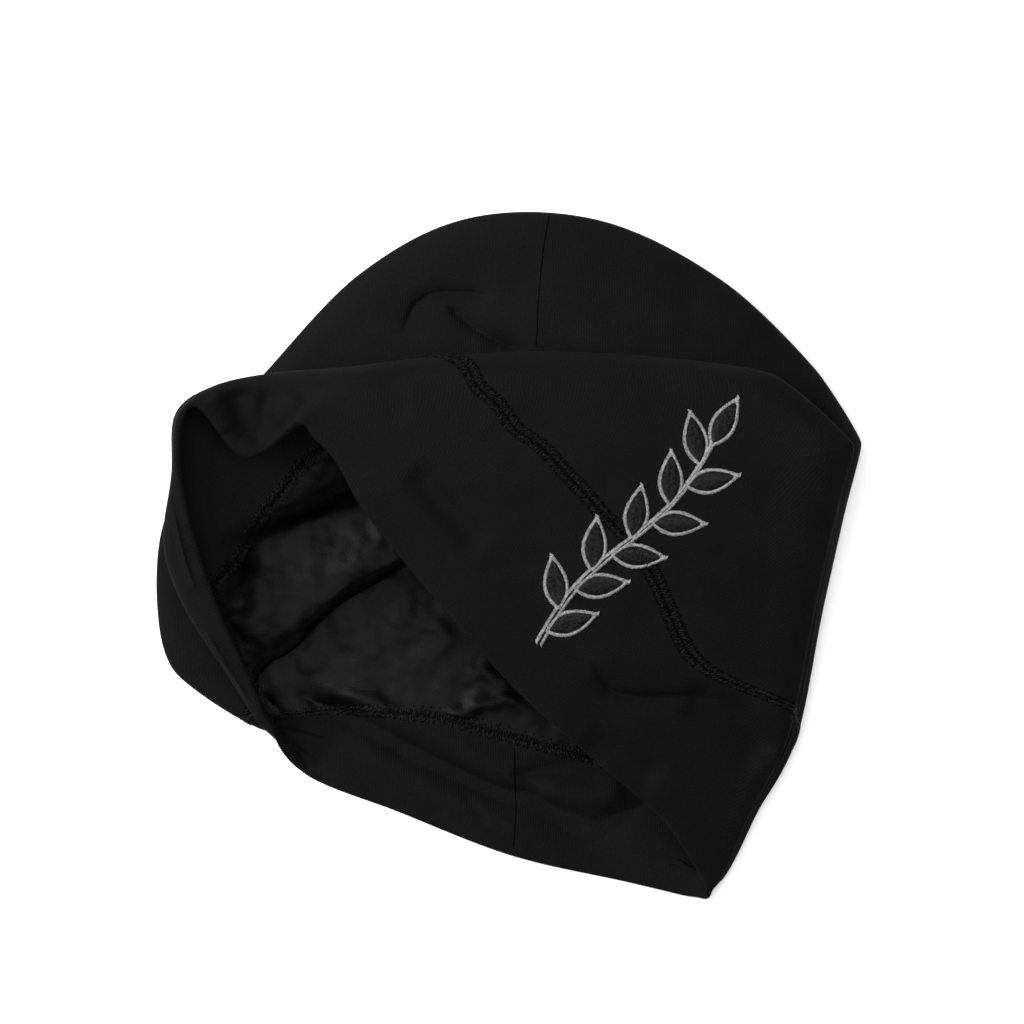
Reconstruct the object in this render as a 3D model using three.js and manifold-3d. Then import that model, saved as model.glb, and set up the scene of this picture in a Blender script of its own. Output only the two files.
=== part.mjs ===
// Skull cap in black stretch jersey with a satin lining, lying on its back layer with the mouth open.
// Units are millimetres, +Z is up, and the floor that it lies on is z = 0.
// The front layer is pushed up over the crown in one deep pleat, so its hem runs across as a diagonal.
import * as THREE from 'three';
import Module from 'manifold-3d';
import { mergeVertices } from 'three/addons/utils/BufferGeometryUtils.js';

// Cloth
const SHELL_THICKNESS = 1.5; // stretch jersey with its seam allowances
const LINING_THICKNESS = 0.9; // satin
const CLOTH_GAP = 0.3; // air between two cloths that lie on each other
const CUFF_THICKNESS = SHELL_THICKNESS + CLOTH_GAP + LINING_THICKNESS; // jersey folded double
const CUFF_ALLOWANCE = 0.4; // each cloth stops this far from the line of the seam
const SHELL_ALLOWANCE = 0.7;
const LINING_ALLOWANCE = 1.6;

// Grid of the cloth: columns go round the cap, rows go from the hem to the middle of the underside
const COLUMNS_PER_STATION = 2.25;
const FLAP_ROWS = 5;
const PLEAT_ROWS = 3;
const CROWN_ROWS = 4;
const UNDERSIDE_ROWS = 2;

// Forms of the cloth between its folds
const CORNER_REACH = 4; // a bend is rounded from this far before it to this far after it
const CORNER_SHARE = 0.4; // and over no more than this share of the stretch beside it
const FLAP_BELLY = 3; // the front layer is crowned by this much
const CROWN_BELLY = 9;
const BELLY_SPAN = 100; // shorter or lower stretches are crowned by less
const BELLY_LIFT = 30;
const TUCK_HEIGHT = 2.4; // outer faces of the cloth stand this far apart in the pleat
const CALM_PASSES = 2; // smoothing of the cloth's normals
const HEM_ARC = [60, 120]; // degrees round the hem's edge, from the outer face to the inner face
const SLIVER = 0.02; // a corner this close to a cut lies on it
const MERGE_DISTANCE = 1e-3;
const UNDERSIDE_MIDDLE = [0, -5, 0];
const FLAT_STEPS = [3, 5, 8, 10, 13, 15]; // bends of cloth that lies flat, this far from the hem

// Stations round the cap: from the tip at the lower right, up the front hem, down the left, along the back.
// rim: the hem. fold: where the cloth turns outward and under. roll: height of that turn.
// tuck: the inner end of the pleat. edge: the outline on the floor, and the height of its round.
// seam: where the cuff ends, counted in bends from the hem:
// 0 rim, 1 fold, 2 tuck, 3 edge, 4 middle of the underside.
// Columns: name, rim, fold, roll, tuck, edge, seam
const FOLDED_STATIONS = [
  ['tip', [70.5, -116, 9], [72.5, -115, 8], 1.5, [73, -114.5, 6], [73.5, -114, 5], 3.32],
  ['front 1', [54.5, -91.5, 20], [84.5, -88, 17], 4, [85.5, -88.5, 12], [87, -89, 8], 3.22],
  ['front 2', [29.5, -69.5, 31], [97, -62, 22], 6, [98.5, -62.5, 14.5], [100.5, -63.5, 9], 1.1],
  ['front 3', [5, -47, 40], [106, -18.5, 26], 7, [107.5, -19, 17], [109.5, -19.5, 9], 0.6],
  ['front 4', [-15, -24.5, 45], [113, 14, 30], 8, [114, 14, 19], [117, 14, 9], 0.49],
  ['right corner', [-30.5, -6.5, 48], [119, 38.5, 32], 8, [116, 36, 19], [123, 39.5, 8], 0.42],
  ['front 6', [-42.5, 8.5, 50], [91.5, 62.5, 33], 9, [81.5, 36.5, 22], [107, 65, 8], 0.425],
  ['front 7', [-50.5, 19.5, 51], [52, 68.5, 35], 9, [45.5, 37.5, 22], [74.5, 96, 8], 0.49],
  ['front 8', [-57.5, 32.5, 51], [10.5, 70.5, 37], 9, [7.5, 35, 20], [32, 117, 8], 0.65],
  ['front 9', [-65, 41, 51], [-27, 68.5, 39], 9, [-19, 16, 15], [-13.5, 118, 8], 1.03],
  ['peak', [-72, 46.5, 50], [-56, 65, 41], 9, [-38, -1.5, 11], [-52, 98.5, 8], 1.33],
  ['notch', [-90, 35, 43], [-81, 63, 41], 9, [-48.5, -8, 10], [-86, 63, 8], 1.42],
  ['roll', [-105, 52, 48], [-101.5, 58.5, 42], 7, [-59.5, -14.5, 10], [-106, 40.5, 8], 1.53],
  ['left corner', [-113, 48.5, 47], [-114.5, 49, 42], 5, [-67.5, -21.5, 10], [-116.5, 22, 8], 1.57],
  ['left 1', [-114.5, 33, 46], [-116, 28, 40], 5, [-74, -28.5, 9.5], [-122, 5.5, 8], 1.53],
  ['left 2', [-110.5, 11, 41], [-119, 4, 34], 5, [-80, -33, 9.5], [-123, -15.5, 7.5], 1.5],
  ['left 3', [-103, -15, 33], [-112.5, -17.5, 26], 5, [-84.5, -35.5, 9], [-120, -34.5, 7], 1.5],
  ['left 4', [-93, -39, 23], [-98, -41, 18], 4, [-89.5, -43.5, 9], [-111.5, -45.5, 7], 1.75],
  ['left foot', [-84.5, -58, 15], [-86, -59.5, 12.5], 1.5, [-86, -59.5, 10.5], [-88, -60, 8], 3.12],
].map(([name, rim, fold, roll, tuck, edge, seam]) => ({ name, rim, fold, roll, tuck, edge, seam }));

// Along the back hem the cloth lies flat on the floor. Columns: name, rim, seam
const FLAT_STATIONS = [
  ['back 1', [-71.5, -75, 0], 3.2],
  ['back 2', [-38, -88.5, 0], 3.29],
  ['back 3', [0.5, -103.5, 0], 3.33],
  ['back 4', [39, -112.5, 0], 3.33],
  ['back 5', [64, -118, 0], 3.32],
].map(([name, rim, seam]) => ({ name, rim, seam }));
const STATIONS = [...FOLDED_STATIONS, ...FLAT_STATIONS];

// Embroidery on the front: a leafy sprig that runs up to the right, across the seam
const SPRIG_START = [10, -30];
const SPRIG_END = [70, 39];
const SPRIG_SWAY = 3; // the stem leaves its straight line by this much, once to each side
const STEM_WIDTH = 2.6;
const STEM_STEPS = 24;
const LEAF_COUNT = 10; // on both sides in turn, and one more at the tip
const LEAF_LENGTH = 19;
const LEAF_WIDTH = 8.5;
const LEAF_ANGLE = 42; // degrees from the stem
const LEAF_STEPS = 6;
const LEAF_FULLNESS = 0.8; // under 1 the leaf is widest nearer its root
const LEAF_POINT = 0.3; // half the width left at a leaf's two ends
const FIRST_LEAF = 0.6; // share of a leaf's spacing below the first leaf
const TIP_LEAF = 0.99; // place of the last leaf on the stem
const STEM_TAPER = 0.5; // share of the stem's width lost at its tip
const THREAD_THICKNESS = 0.8;
const THREAD_GAP = 0.45; // over the highest of the cloth's small facets

// Small vector helpers
const add = (a, b, scale = 1) => a.map((value, k) => value + b[k] * scale);
const between = (a, b, part) => a.map((value, k) => value + (b[k] - value) * part);
const distance = (a, b) => Math.hypot(...a.map((value, k) => value - b[k]));
const onFloor = ([x, y, z]) => [x, y, Math.max(z, 0)];
const lowered = (point, drop) => [point[0], point[1], point[2] - drop];

// The bends of one station in order: hem, top and foot of the fold, of the tuck and of the edge, middle
function stationBends(station) {
  const { rim, fold, roll, tuck, edge } = station;
  if (fold) {
    const foot = [edge[0], edge[1], 0];
    const tuckHeight = Math.min(TUCK_HEIGHT, roll / 2);
    return [rim, fold, lowered(fold, roll), tuck, lowered(tuck, tuckHeight), edge, foot, UNDERSIDE_MIDDLE];
  }
  const reach = distance(rim, UNDERSIDE_MIDDLE);
  return [rim, ...FLAT_STEPS.map((step) => between(rim, UNDERSIDE_MIDDLE, step / reach)), UNDERSIDE_MIDDLE];
}

const BENDS = STATIONS.map(stationBends);
const SEAM_AT = STATIONS.map((station) => station.seam);
const COLUMNS = Math.round(STATIONS.length * COLUMNS_PER_STATION);

// A closed smooth curve through one value or point of every station
function roundTheCap(values, at) {
  const count = values.length;
  const start = Math.floor(at);
  const part = at - start;
  const [a, b, c, d] = [-1, 0, 1, 2].map((step) => [values[(start + step + count) % count]].flat());
  const curve = b.map((_, k) => {
    const turn = -a[k] + 3 * b[k] - 3 * c[k] + d[k];
    const bow = 2 * a[k] - 5 * b[k] + 4 * c[k] - d[k];
    return b[k] + 0.5 * part * (c[k] - a[k] + part * (bow + part * turn));
  });
  return curve.length === 1 ? curve[0] : curve;
}

// One row of points down the cloth from the hem to the middle of the underside, with its bends rounded
const ROWS_BETWEEN = [FLAP_ROWS, 0, PLEAT_ROWS, 0, CROWN_ROWS, 0, UNDERSIDE_ROWS];
const BELLY_BETWEEN = [FLAP_BELLY, 0, 0, 0, CROWN_BELLY, 0, 0];

function profile(at) {
  const bends = BENDS[0].map((_, k) => roundTheCap(BENDS.map((row) => row[k]), at));
  const spans = bends.slice(1).map((bend, k) => distance(bends[k], bend));
  const reach = spans.map((span) => Math.min(CORNER_REACH, span * CORNER_SHARE) / span);
  const points = [bends[0]];
  spans.forEach((span, k) => {
    const start = k === 0 ? 0 : reach[k];
    const stop = k === spans.length - 1 ? 1 : 1 - reach[k];
    const belly = BELLY_BETWEEN[k] * Math.min(1, span / BELLY_SPAN) * Math.min(1, bends[0][2] / BELLY_LIFT);
    const steps = ROWS_BETWEEN[k] + 1;
    for (let step = k === 0 ? 1 : 0; step <= steps; step += 1) {
      const part = start + ((stop - start) * step) / steps;
      points.push(add(between(bends[k], bends[k + 1], part), [0, 0, belly * Math.sin(Math.PI * part)]));
    }
  });
  return points;
}

// Rows at which the cloth is halfway round its fold, tuck and edge, with the hem before and the middle after
const TURNS = [0, 1, 3, 5].map((span, turn) => {
  const rows = ROWS_BETWEEN.slice(0, span + 1).reduce((sum, count) => sum + count + 2, 0);
  return turn === 0 ? 0 : rows - 1.5;
});

// The outer face of the cloth, as columns of points, with the way along the cloth and the way past the seam
const OUTER = [];
for (let column = 0; column < COLUMNS; column += 1) {
  const at = (column * STATIONS.length) / COLUMNS;
  const points = profile(at);
  const way = [0];
  points.slice(1).forEach((point, row) => way.push(way[row] + distance(points[row], point)));
  const wayAt = (row) => between([way[Math.floor(row)]], [way[Math.ceil(row)]], row % 1)[0];
  const turns = [...TURNS, points.length - 1];
  const seam = between([SEAM_AT[Math.floor(at)]], [SEAM_AT[Math.ceil(at) % STATIONS.length]], at % 1)[0];
  const from = Math.floor(seam);
  const seamWay = wayAt(turns[from]) + (wayAt(turns[from + 1]) - wayAt(turns[from])) * (seam - from);
  OUTER.push(points.map((place, row) => ({ place, pastSeam: way[row] - seamWay })));
}
const ROWS = OUTER[0].length;

// Unit normals of the outer face
function gridNormal(column, row) {
  const point = (c, r) => new THREE.Vector3(...OUTER[(c + COLUMNS) % COLUMNS][r].place);
  const across = point(column + 1, row).sub(point(column - 1, row));
  const along = point(column, Math.min(row + 1, ROWS - 1)).sub(point(column, Math.max(row - 1, 0)));
  const normal = along.cross(across);
  return normal.length() > 0 && row < ROWS - 1 ? normal.normalize() : new THREE.Vector3(0, 0, -1);
}

// Normals that turn more slowly than the outer face, so that the inner faces of tight bends don't cross
function calmNormals(normals) {
  return normals.map((column, c) => column.map((normal, row) => {
    const sum = normal.clone().multiplyScalar(2);
    sum.add(column[Math.max(row - 1, 0)]).add(column[Math.min(row + 1, ROWS - 1)]);
    sum.add(normals[(c + 1) % COLUMNS][row]).add(normals[(c + COLUMNS - 1) % COLUMNS][row]);
    return sum.normalize();
  }));
}

function clothNormals() {
  let normals = OUTER.map((points, column) => points.map((_, row) => gridNormal(column, row)));
  for (let pass = 0; pass < CALM_PASSES; pass += 1) {
    normals = calmNormals(normals);
  }
  return normals;
}
const NORMALS = clothNormals();

// A point of the cloth at some depth under its outer face
function clothPoint(column, row, depth) {
  const inward = NORMALS[column][row];
  return onFloor(add(OUTER[column][row].place, [inward.x, inward.y, inward.z], -depth));
}

// The part of a triangle on one side of the seam, as a polygon whose first edge is the cut when there is one
function cutAtSeam(triangle, side, allowance) {
  const room = triangle.map(({ pastSeam }) => {
    const past = side * pastSeam - allowance;
    return Math.abs(past) < SLIVER ? 0 : past;
  });
  const kept = [];
  let cutStart = -1;
  triangle.forEach((corner, k) => {
    const next = (k + 1) % 3;
    if (room[k] >= 0) {
      kept.push(corner);
    }
    if (room[k] >= 0 !== room[next] >= 0) {
      const part = room[k] / (room[k] - room[next]);
      cutStart = room[k] >= 0 ? kept.length : cutStart;
      kept.push({
        top: between(corner.top, triangle[next].top, part),
        bottom: between(corner.bottom, triangle[next].bottom, part),
      });
    }
  });
  return { polygon: kept, cutStart };
}

// One cloth as a closed solid between two depths, on the hem's side (-1) or the crown's side (1) of the seam
function clothTriangles(side, allowance, topDepth, bottomDepth) {
  const triangles = [];
  const fan = (points) => points.slice(2).forEach((point, k) => {
    triangles.push([points[0], points[k + 1], point]);
  });
  const corner = (column, row) => ({
    top: clothPoint(column, row, topDepth),
    bottom: clothPoint(column, row, bottomDepth),
    pastSeam: OUTER[column][row].pastSeam,
  });
  for (let column = 0; column < COLUMNS; column += 1) {
    const next = (column + 1) % COLUMNS;
    for (let row = 0; row + 1 < ROWS; row += 1) {
      const [a, b] = [corner(next, row), corner(column, row)];
      const [c, d] = [corner(column, row + 1), corner(next, row + 1)];
      const pair = row + 2 === ROWS ? [[a, b, c]] : [[a, b, c], [a, c, d]];
      pair.forEach((triangle) => {
        const { polygon, cutStart } = cutAtSeam(triangle, side, allowance);
        fan(polygon.map(({ top }) => top));
        fan(polygon.map(({ bottom }) => bottom).reverse());
        if (cutStart >= 0) {
          const [from, to] = [polygon[cutStart], polygon[(cutStart + 1) % polygon.length]];
          fan([to.top, from.top, from.bottom, to.bottom]);
        }
      });
    }
    if (side < 0) {
      const [here, there] = [rimArc(column, topDepth, bottomDepth), rimArc(next, topDepth, bottomDepth)];
      here.slice(1).forEach((point, k) => fan([here[k], there[k], there[k + 1], point]));
    }
  }
  return triangles;
}

// The rounded edge of the hem in one column, from the outer face round to the inner face
function rimArc(column, topDepth, bottomDepth) {
  const [top, bottom] = [clothPoint(column, 0, topDepth), clothPoint(column, 0, bottomDepth)];
  const middle = between(top, bottom, 0.5);
  const radius = distance(top, bottom) / 2;
  const inner = clothPoint(column, 1, (topDepth + bottomDepth) / 2);
  const out = add(middle, inner, -1).map((value) => value / distance(middle, inner));
  const arc = HEM_ARC.map((degrees) => {
    const angle = THREE.MathUtils.degToRad(degrees);
    return onFloor(add(add(middle, add(top, middle, -1), Math.cos(angle)), out, radius * Math.sin(angle)));
  });
  return [top, ...arc, bottom];
}

// A closed mesh from triangles, with shared corners merged and collapsed triangles left out
function closedGeometry(triangles) {
  const raw = new THREE.BufferGeometry();
  raw.setAttribute('position', new THREE.Float32BufferAttribute(triangles.flat(2), 3));
  const merged = mergeVertices(raw, MERGE_DISTANCE);
  const index = [...merged.index.array];
  const faces = [];
  for (let k = 0; k < index.length; k += 3) {
    const [a, b, c] = index.slice(k, k + 3);
    if (a !== b && b !== c && c !== a) {
      faces.push(a, b, c);
    }
  }
  merged.setIndex(faces);
  merged.computeVertexNormals();
  return merged;
}

// Height of the front layer's outer face over a place in plan
function flapHeight(x, y) {
  const foldRow = 1 + FLAP_ROWS + 1;
  for (let column = 0; column < COLUMNS; column += 1) {
    for (let row = 0; row < foldRow; row += 1) {
      const [a, b] = [OUTER[(column + 1) % COLUMNS][row].place, OUTER[column][row].place];
      const [c, d] = [OUTER[column][row + 1].place, OUTER[(column + 1) % COLUMNS][row + 1].place];
      const hit = [[a, b, c], [a, c, d]].find((corners) => heightIn(corners, x, y) !== null);
      if (hit) {
        return heightIn(hit, x, y);
      }
    }
  }
  throw new Error('the embroidery leaves the front of the cap');
}

// Height of a triangle over a place in plan, or null where it isn't under that place
function heightIn([a, b, c], x, y) {
  const area = (b[0] - a[0]) * (c[1] - a[1]) - (b[1] - a[1]) * (c[0] - a[0]);
  const second = ((x - a[0]) * (c[1] - a[1]) - (y - a[1]) * (c[0] - a[0])) / area;
  const third = ((b[0] - a[0]) * (y - a[1]) - (b[1] - a[1]) * (x - a[0])) / area;
  const inside = second >= 0 && third >= 0 && second + third <= 1;
  return inside ? a[2] + second * (b[2] - a[2]) + third * (c[2] - a[2]) : null;
}

// Place and heading of the stem, from 0 at its foot to 1 at its tip
function stemAt(part) {
  const line = new THREE.Vector2(SPRIG_END[0] - SPRIG_START[0], SPRIG_END[1] - SPRIG_START[1]);
  const side = new THREE.Vector2(-line.y, line.x).normalize();
  const sway = SPRIG_SWAY * Math.sin(2 * Math.PI * part);
  const slope = (2 * Math.PI * SPRIG_SWAY * Math.cos(2 * Math.PI * part)) / line.length();
  const place = new THREE.Vector2(...SPRIG_START).addScaledVector(line, part).addScaledVector(side, sway);
  return { place, heading: line.clone().normalize().addScaledVector(side, slope).normalize() };
}

// A long shape between two sides that mirror each other about a line of places
function ribbonShape(steps, placeAt, headingAt, halfWidthAt) {
  const sides = [1, -1].map((side) => Array.from({ length: steps + 1 }, (_, k) => {
    const part = k / steps;
    const heading = headingAt(part);
    const across = new THREE.Vector2(-heading.y, heading.x);
    return placeAt(part).clone().addScaledVector(across, side * halfWidthAt(part));
  }));
  return new THREE.Shape([...sides[1], ...sides[0].reverse()]);
}

function stemShape() {
  const taper = (part) => (STEM_WIDTH / 2) * (1 - STEM_TAPER * part);
  return ribbonShape(STEM_STEPS, (part) => stemAt(part).place, (part) => stemAt(part).heading, taper);
}

function leafShape(root, heading, length) {
  const body = (part) => Math.max(LEAF_POINT, (LEAF_WIDTH / 2) * Math.sin(Math.PI * part ** LEAF_FULLNESS));
  const rib = (part) => root.clone().addScaledVector(heading, length * part);
  return ribbonShape(LEAF_STEPS, rib, () => heading, body);
}

// The sprig as one flat plate of thread, then laid on the front layer
async function sprigGeometry() {
  const wasm = await Module();
  wasm.setup();
  const plate = (shape) => {
    const flat = new THREE.ExtrudeGeometry(shape, { depth: THREAD_THICKNESS, bevelEnabled: false });
    flat.deleteAttribute('normal');
    flat.deleteAttribute('uv');
    const { index, attributes } = mergeVertices(flat, MERGE_DISTANCE);
    const vertProperties = attributes.position.array;
    const triVerts = Uint32Array.from(index.array);
    return new wasm.Manifold(new wasm.Mesh({ numProp: 3, vertProperties, triVerts }));
  };
  const shapes = [stemShape()];
  for (let leaf = 0; leaf <= LEAF_COUNT; leaf += 1) {
    const part = leaf === LEAF_COUNT ? TIP_LEAF : (leaf + FIRST_LEAF) / (LEAF_COUNT + FIRST_LEAF);
    const { place, heading } = stemAt(part);
    const turn = leaf === LEAF_COUNT ? 0 : THREE.MathUtils.degToRad(leaf % 2 ? LEAF_ANGLE : -LEAF_ANGLE);
    shapes.push(leafShape(place, heading.clone().rotateAround(new THREE.Vector2(), turn), LEAF_LENGTH));
  }
  const joined = shapes.map(plate).reduce((whole, next) => whole.add(next)).getMesh();
  const places = Array.from(joined.vertProperties);
  for (let k = 0; k < places.length; k += 3) {
    places[k + 2] += flapHeight(places[k], places[k + 1]) + THREAD_GAP;
  }
  const geometry = new THREE.BufferGeometry();
  geometry.setAttribute('position', new THREE.Float32BufferAttribute(places, 3));
  geometry.setIndex(Array.from(joined.triVerts));
  geometry.computeVertexNormals();
  return geometry;
}

// Finishes
const finish = (color, roughness) => new THREE.MeshStandardMaterial({ color, roughness, metalness: 0 });
const jersey = () => finish(0x161617, 0.85);
const satin = () => finish(0x101012, 0.42);
const thread = () => finish(0x3c3c3e, 0.6);

const shellGeometry = (allowance, topDepth, bottomDepth) => (
  closedGeometry(clothTriangles(1, allowance, topDepth, bottomDepth))
);

const cap = new THREE.Group();
const piece = (name, geometry, material) => {
  const mesh = new THREE.Mesh(geometry, material);
  mesh.name = name;
  cap.add(mesh);
};
piece('body_shell', shellGeometry(SHELL_ALLOWANCE, 0, SHELL_THICKNESS), jersey());
piece('lining', shellGeometry(LINING_ALLOWANCE, SHELL_THICKNESS + CLOTH_GAP, CUFF_THICKNESS), satin());
piece('cuff_band', closedGeometry(clothTriangles(-1, CUFF_ALLOWANCE, 0, CUFF_THICKNESS)), jersey());
piece('embroidered_sprig', await sprigGeometry(), thread());

// The origin is under the middle of the cap's box, on the floor
const box = new THREE.Box3().setFromObject(cap, true);
const middle = box.getCenter(new THREE.Vector3());
cap.position.set(-middle.x, -middle.y, -box.min.z);

export default cap;
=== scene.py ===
# A black jersey skull cap with a satin lining, lying on its back with the front pushed up over the crown.
# Lengths are metres, or mm where a comment over them says so. Pixels are of the frame that the camera sees.
import math
import random
from collections import namedtuple

import bmesh
import bpy
import numpy as np
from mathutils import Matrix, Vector, noise
from mathutils.bvhtree import BVHTree


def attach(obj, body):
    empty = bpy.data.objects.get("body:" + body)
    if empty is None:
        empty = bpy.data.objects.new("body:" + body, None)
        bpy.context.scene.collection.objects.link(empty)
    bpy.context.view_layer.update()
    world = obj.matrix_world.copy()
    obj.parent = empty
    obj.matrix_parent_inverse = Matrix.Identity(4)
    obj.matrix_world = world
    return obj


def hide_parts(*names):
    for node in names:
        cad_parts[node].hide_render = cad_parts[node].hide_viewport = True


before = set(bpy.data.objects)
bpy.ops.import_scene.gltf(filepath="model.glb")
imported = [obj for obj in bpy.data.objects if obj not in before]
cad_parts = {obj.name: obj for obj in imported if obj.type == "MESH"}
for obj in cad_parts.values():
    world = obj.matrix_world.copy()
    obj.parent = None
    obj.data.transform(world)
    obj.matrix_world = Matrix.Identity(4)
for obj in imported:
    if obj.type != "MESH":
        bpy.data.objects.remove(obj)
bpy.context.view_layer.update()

MM = 0.001
ABOVE = 1.0  # a height over everything
DOWN = Vector((0, 0, -1))

# Camera: straight above the cap, as a product picture is taken
FRAME_PIXELS = 1024
PIXEL = 0.35 * MM  # one pixel of the frame, on the floor
CAMERA_PLACE = Vector((0.95 * MM, 15.475 * MM, 2.0))
SENSOR_WIDTH = 36.0  # mm

# Cloth, in mm
SHELL_THICKNESS = 1.5
LINING_THICKNESS = 0.9
CLOTH_GAP = 0.3
CUFF_THICKNESS = SHELL_THICKNESS + CLOTH_GAP + LINING_THICKNESS
ORIGIN_SHIFT = np.array([-0.1, 0.25, 0.0])  # the origin is under the middle of the cap's box
CORNER_REACH = 4  # a bend is cut across this far from it
CORNER_SHARE = 0.4  # or at this share of the stretch beside it, if that is nearer
BELLY_SPAN = 100  # stretches this long have their whole belly
BELLY_LIFT = 30  # where the hem stands this high
TUCK_HEIGHT = 2.4  # of the pleat's inner end
UNDERSIDE_MIDDLE = (0, -5, 0)
FLAT_STEPS = (3, 5, 8, 10, 13, 15)  # from the hem, where the cloth lies flat
CALM_PASSES = 2
CALM_STEP = 0.44  # stations between the places whose normals calm each other

# Stations round the cap: from the tip at the lower right, up the front hem, down the left, along the back.
# Columns: name, hem, fold, height of the fold's roll, inner end of the pleat, outline on the floor,
# seam (bends from the hem), crispness of the corner there. In mm.
FoldedStation = namedtuple("FoldedStation", "name hem fold roll tuck edge seam crisp")
FOLDED_STATIONS = [FoldedStation(*row) for row in (
    ("tip", (70.5, -116, 9), (72.5, -115, 8), 1.5, (73, -114.5, 6), (73.5, -114, 5), 3.32, 0.3),
    ("front 1", (54.5, -91.5, 20), (84.5, -88, 17), 4, (85.5, -88.5, 12), (87, -89, 8), 3.22, 0.3),
    ("front 2", (29.5, -69.5, 31), (97, -62, 22), 6, (98.5, -62.5, 14.5), (100.5, -63.5, 9), 3.02, 0),
    ("front 3", (5, -47, 40), (106, -18.5, 26), 7, (107.5, -19, 17), (109.5, -19.5, 9), 0.53, 0),
    ("front 4", (-15, -24.5, 45), (113, 14, 30), 8, (114, 14, 19), (117, 14, 9), 0.49, 0),
    ("right corner", (-30.5, -6.5, 48), (119, 38.5, 32), 8, (116, 36, 19), (123, 39.5, 8), 0.42, 0.7),
    ("front 6", (-42.5, 8.5, 50), (91.5, 62.5, 33), 9, (81.5, 36.5, 22), (107, 65, 8), 0.425, 0.4),
    ("front 7", (-50.5, 19.5, 51), (52, 68.5, 35), 9, (45.5, 37.5, 22), (74.5, 96, 8), 0.49, 0),
    ("front 8", (-57.5, 32.5, 51), (10.5, 70.5, 37), 9, (7.5, 35, 20), (32, 117, 8), 0.65, 0),
    ("front 9", (-65, 41, 51), (-27, 68.5, 39), 9, (-19, 16, 15), (-13.5, 118, 8), 1.03, 0),
    ("peak", (-72, 46.5, 50), (-56, 65, 41), 9, (-38, -1.5, 11), (-52, 98.5, 8), 1.33, 0),
    ("notch", (-90, 35, 43), (-81, 63, 41), 9, (-48.5, -8, 10), (-86, 63, 8), 1.42, 0),
    ("roll", (-105, 52, 48), (-101.5, 58.5, 42), 7, (-59.5, -14.5, 10), (-106, 40.5, 8), 1.53, 0),
    ("left corner", (-113, 48.5, 47), (-114.5, 49, 42), 5, (-67.5, -21.5, 10), (-116.5, 22, 8), 1.57, 0),
    ("left 1", (-114.5, 33, 46), (-116, 28, 40), 5, (-74, -28.5, 9.5), (-122, 5.5, 8), 1.53, 0),
    ("left 2", (-110.5, 11, 41), (-119, 4, 34), 5, (-80, -33, 9.5), (-123, -15.5, 7.5), 1.42, 0),
    ("left 3", (-103, -15, 33), (-112.5, -17.5, 26), 5, (-84.5, -35.5, 9), (-120, -34.5, 7), 1.5, 0),
    ("left 4", (-93, -39, 23), (-98, -41, 18), 4, (-89.5, -43.5, 9), (-111.5, -45.5, 7), 1.75, 0),
    ("left foot", (-84.5, -58, 15), (-86, -59.5, 12.5), 1.5, (-86, -59.5, 10.5), (-88, -60, 8), 3.12, 0.2),
)]

# Along the back hem the cloth lies flat. Columns: name, hem in mm, seam, crispness
FlatStation = namedtuple("FlatStation", "name hem seam crisp")
FLAT_STATIONS = [FlatStation(*row) for row in (
    ("back 1", (-71.5, -75, 0), 3.2, 0),
    ("back 2", (-38, -88.5, 0), 3.29, 0),
    ("back 3", (0.5, -103.5, 0), 3.33, 0),
    ("back 4", (39, -112.5, 0), 3.33, 0),
    ("back 5", (64, -118, 0), 3.32, 0),
)]
STATIONS = FOLDED_STATIONS + FLAT_STATIONS
STATION_COUNT = len(STATIONS)

# More places of the seam, near where it goes under the cap. Columns: place counted in stations, seam
SEAM_TURNS = (
    (1.7, 3.04), (2.08, 3.02), (2.2, 1.0), (2.35, 0.86), (2.6, 0.64), (2.8, 0.57),
    (17.75, 1.97), (17.95, 3.08),
)

# Stretches of one section between its bends. Columns: name, rows inside it, belly in mm,
# fine steps in a row where it is seen from outside, where it is seen from inside, where it is hidden
Stretch = namedtuple("Stretch", "name rows belly outside inside hidden")
STRETCHES = [Stretch(*row) for row in (
    ("front", 5, 3, 9, 6, 1),
    ("fold", 0, 0, 2, 2, 2),
    ("upper pleat", 3, 0, 2, 8, 4),
    ("tuck", 0, 0, 1, 2, 2),
    ("crown", 4, 9, 8, 4, 2),
    ("edge", 0, 0, 2, 2, 2),
    ("underside", 2, 0, 3, 20, 4),
)]
FOLD, TUCK, EDGE = 1, 3, 5  # the stretches that turn the cloth over
OUTSIDE, INSIDE, HIDDEN = "outside", "inside", "hidden"
CORNER_STEPS = {OUTSIDE: 4, INSIDE: 3, HIDDEN: 3}  # fine steps in a row across a bend
COLUMNS = 400
SEAM_CALM = 7  # columns to each side over which the seam's line is evened out

# Rows of cloth beside the seam, in mm from it, and how far the cloth sinks into the seam there
SEAM_ROWS = (0.02, 0.35, 0.9, 1.8, 3.0, 4.5)
SEAM_CLEAR = 6.0
SEAM_SINK = 0.3
SEAM_SINK_WIDTH = 0.45
OUTER_SINK, INNER_SINK, LINING_SINK = 1, -1, -0.7  # ways in which a face sinks, from the outer face inwards
HEM_DEGREES = (20, 45, 70, 90, 110, 135, 160)  # rows round the hem's edge
HEM_PROBE = 5.0  # the hem points away from the cloth this far behind it, in mm

# Ways of the knit's ribs in plan: on the front, and on the crown and the back
FRONT_RIBS = (0.665, 0.747)
BACK_RIBS = (-0.05, 1.0)
BACK_START = 18.3  # from the foot on the left the hem is the back's, counted in stations
MERGE = 0.002 * MM  # corners of a mesh that are closer than this are one

# Meshes where the cap is seen
SEEN_DEPTH = 4.5 * MM  # cloth this close under the top gets short edges
SEEN_EDGE = 2.6 * MM  # longest edge there
NO_LIMIT = 1.0  # longer than any edge
CREASE_EDGE = 0.85 * MM  # longest edge at a sharp crease
CREASE_EDGE_SHARE = 0.5  # and at a rounded crease, as a share of its narrower side
REFINE_PASSES = 4


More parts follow.
